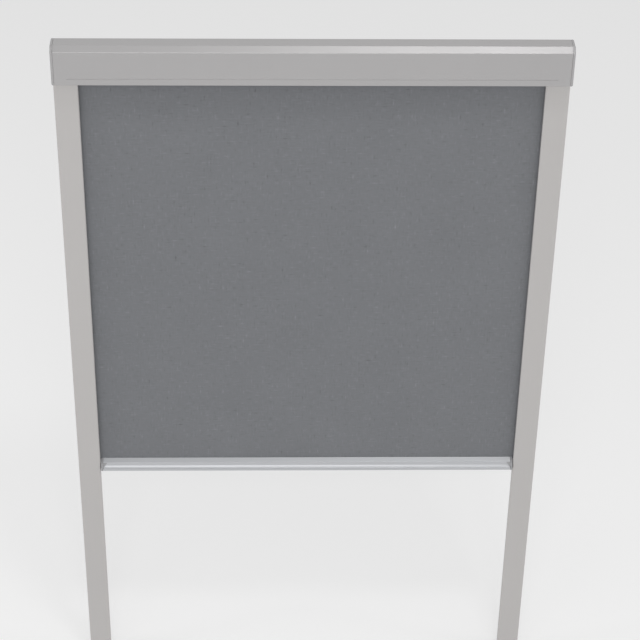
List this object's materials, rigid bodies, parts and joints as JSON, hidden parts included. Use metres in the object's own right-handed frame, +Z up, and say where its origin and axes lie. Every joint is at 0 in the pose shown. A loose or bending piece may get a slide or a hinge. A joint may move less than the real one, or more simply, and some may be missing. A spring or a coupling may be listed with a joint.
{
  "type": "skylight window blind",
  "caption": "Blackout roller blind for a roof window: spring roller in an aluminium headbox, side rails, grey fabric and a sliding bottom bar with a grip",
  "frame": {"origin": "In the plane of the headbox's back face, midway across, at the height of the roller's axis", "axes": "+X runs across the blind to its right as seen from the room, +Y points from the room towards the glass, +Z runs up the slope of the window"},
  "size_m": [0.61, 0.036, 0.974],
  "materials": {
    "anodised_headbox": "satin anodised",
    "anodised_rail": "satin anodised",
    "anodised_bar": "satin anodised",
    "mill_aluminium": "mill finish",
    "cap_plastic": "fine matt",
    "bar_plastic": "fine matt",
    "inner_plastic": "moulded",
    "zinc_steel": "zinc plated",
    "spring_steel": "oiled",
    "pile": "woven pile",
    "felt": "felt",
    "blackout_fabric": "fine weave, coated back"
  },
  "bodies": {
    "root": {"headbox_shell": "anodised_headbox", "rail_left": "anodised_rail", "rail_right": "anodised_rail", "end_cap_left": "cap_plastic", "end_cap_right": "cap_plastic", "rail_end_cap_left": "cap_plastic", "rail_end_cap_right": "cap_plastic", "spring_anchor": "inner_plastic", "idle_bush": "inner_plastic", "bracket_left": "zinc_steel", "bracket_right": "zinc_steel", "cap_screw_left_upper": "zinc_steel", "cap_screw_left_lower": "zinc_steel", "cap_screw_right_upper": "zinc_steel", "cap_screw_right_lower": "zinc_steel", "spring_shaft": "zinc_steel", "torsion_spring": "spring_steel", "rail_pile_left": "pile", "rail_pile_right": "pile"},
    "roller": {"roller_tube": "mill_aluminium", "fabric_roll": "blackout_fabric", "roller_spline": "inner_plastic", "spring_plug": "inner_plastic", "idle_plug": "inner_plastic", "idle_pin": "zinc_steel"},
    "bar": {"bottom_bar": "anodised_bar", "bar_end_left": "bar_plastic", "bar_end_right": "bar_plastic", "hem_spline": "inner_plastic", "bar_seal": "pile", "brake_pad_left": "felt", "brake_pad_right": "felt", "brake_spring_left": "spring_steel", "brake_spring_right": "spring_steel", "fabric": "blackout_fabric"}
  },
  "joints": [
    {"name": "bar_slide", "type": "slide", "parent": "root", "child": "bar", "axis": [0, 0, 1], "range_m": [-0.3275, 0.5735], "deforming": ["fabric"]},
    {"name": "roller_turn", "type": "hinge", "parent": "root", "child": "roller", "pos_m": [0, -0.01947, 0], "axis": [1, 0, 0], "range_deg": [-1506, 2636]}
  ],
  "couplings": [
    {"joint": "roller_turn", "follows": "bar_slide", "rad_per_m": 80.16}
  ]
}
